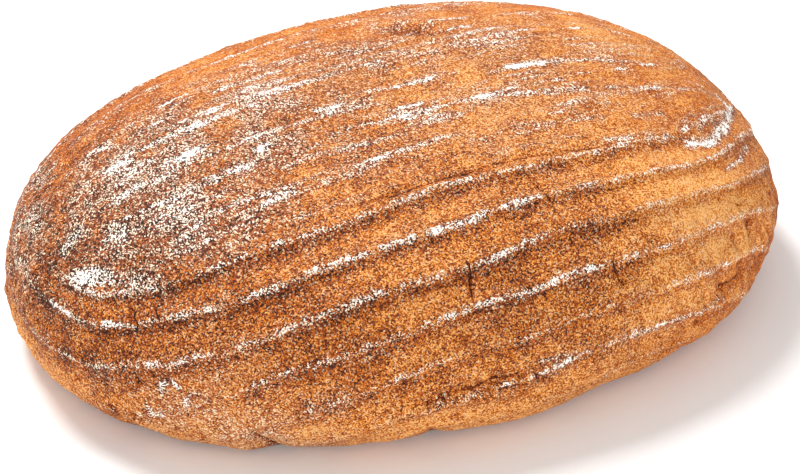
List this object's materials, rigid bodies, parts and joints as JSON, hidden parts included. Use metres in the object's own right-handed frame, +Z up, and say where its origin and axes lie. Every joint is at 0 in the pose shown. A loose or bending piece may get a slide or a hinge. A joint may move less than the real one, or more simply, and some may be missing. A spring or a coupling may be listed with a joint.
{
  "type": "country loaf",
  "caption": "Whole oval country loaf of bread with a nearly level crown, ringed by the print of its proving basket, on a flat foot.",
  "frame": {"origin": "middle of the flat foot that the loaf stands on", "axes": "+X along the loaf towards its broader end, +Y across it, +Z up"},
  "size_m": [0.3, 0.2166, 0.087],
  "materials": {
    "crust": "matte"
  },
  "bodies": {
    "root": {"loaf": "crust"}
  },
  "joints": []
}
